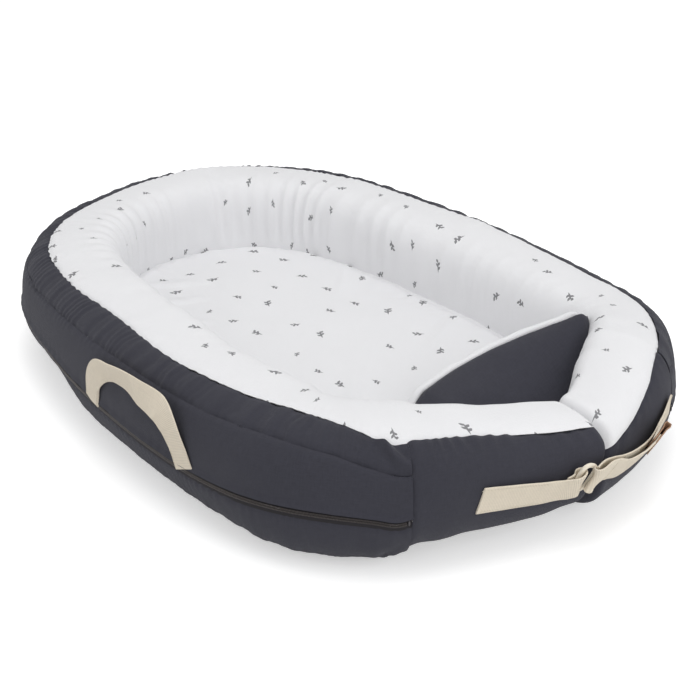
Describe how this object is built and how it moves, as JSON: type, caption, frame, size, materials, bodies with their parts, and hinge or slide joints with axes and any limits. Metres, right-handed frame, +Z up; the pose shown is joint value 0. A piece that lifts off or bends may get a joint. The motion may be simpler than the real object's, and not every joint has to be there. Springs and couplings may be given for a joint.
{
  "type": "infant lounger",
  "caption": "Oval padded nest with a stuffed rim that opens at the foot end, closed by a webbing strap, with carrying handles and a zipped cover.",
  "frame": {"origin": "on the floor, in the middle of the nest's plan", "axes": "+Z up, +Y towards the closed head end, +X towards the right end of the rim, with the foot opening at -Y"},
  "size_m": [0.6464, 0.8891, 0.1506],
  "materials": {
    "outer_cloth": "tightly woven dark grey cotton, matt",
    "liner_cloth": "fine white cotton with small grey motifs, matt",
    "webbing": "natural cotton webbing, matt",
    "tab_leather": "brown vegetable-tanned leather with cut edges",
    "stuffing": "loose polyester fibre filling",
    "foam": "soft open-cell foam",
    "zip_tape": "woven black zip tape",
    "zip_coil": "moulded black coil",
    "zip_metal": "black painted cast metal",
    "ring_plastic": "cream moulded plastic, satin",
    "hook_and_loop": "short-pile hook and loop tape"
  },
  "bodies": {
    "nest": {"base_cloth": "outer_cloth", "mattress_pad": "foam", "floor_liner": "liner_cloth", "bolster_core": "stuffing", "wall_liner": "liner_cloth", "upper_band": "outer_cloth", "side_panel": "outer_cloth", "lower_band": "outer_cloth", "zip_tape_upper": "zip_tape", "zip_tape_lower": "zip_tape", "zip_coil": "zip_coil", "zip_stop_left": "zip_metal", "zip_stop_right": "zip_metal", "foot_panel_cover": "outer_cloth", "foot_panel_pad": "foam", "foot_panel_hem": "liner_cloth"},
    "left_end": {"end_core_left": "stuffing", "end_cover_left": "outer_cloth", "end_liner_left": "liner_cloth", "strap_short": "webbing"},
    "right_end": {"end_core_right": "stuffing", "end_cover_right": "outer_cloth", "end_liner_right": "liner_cloth", "strap_base": "webbing", "loop_patch": "hook_and_loop", "strap_fold": "webbing"},
    "ring": {"strap_ring": "ring_plastic"},
    "tail": {"strap_tail": "webbing", "hook_patch": "hook_and_loop", "leather_tab": "tab_leather"},
    "left_handle": {"handle_left": "webbing"},
    "right_handle": {"handle_right": "webbing"},
    "slider": {"zip_slider": "zip_metal"},
    "pull": {"zip_pull": "zip_metal"}
  },
  "joints": [
    {"name": "left_end_swing", "type": "hinge", "parent": "nest", "child": "left_end", "pos_m": [-0.18527, -0.38862, 0.075], "axis": [0, 0, -1], "range_deg": [0, 50], "deforming": ["strap_fold"]},
    {"name": "right_end_swing", "type": "hinge", "parent": "nest", "child": "right_end", "pos_m": [0.18586, -0.3951, 0.075], "axis": [0, 0, 1], "range_deg": [0, 50]},
    {"name": "ring_swivel", "type": "hinge", "parent": "left_end", "child": "ring", "pos_m": [-0.01218, -0.43862, 0.0686], "axis": [0, 0, -1], "range_deg": [0, 25]},
    {"name": "tail_peel", "type": "hinge", "parent": "right_end", "child": "tail", "pos_m": [0.02232, -0.44812, 0.0656], "axis": [0, 0, -1], "range_deg": [0, 150]},
    {"name": "left_handle_fold", "type": "hinge", "parent": "nest", "child": "left_handle", "pos_m": [-0.30537, -0.08994, 0.075], "axis": [0.0259, -0.9997, 0], "range_deg": [0, 150]},
    {"name": "right_handle_lift", "type": "hinge", "parent": "nest", "child": "right_handle", "pos_m": [0.30537, -0.08994, 0.075], "axis": [-0.0259, -0.9997, 0], "range_deg": [0, 150]},
    {"name": "zip_run", "type": "hinge", "parent": "nest", "child": "slider", "pos_m": [0, 0.16, 0.065], "axis": [0, 0, 1], "range_deg": [0, 135]},
    {"name": "pull_swing", "type": "hinge", "parent": "slider", "child": "pull", "pos_m": [0.26595, 0.2602, 0.065], "axis": [0, 0, 1], "range_deg": [0, 170]}
  ]
}
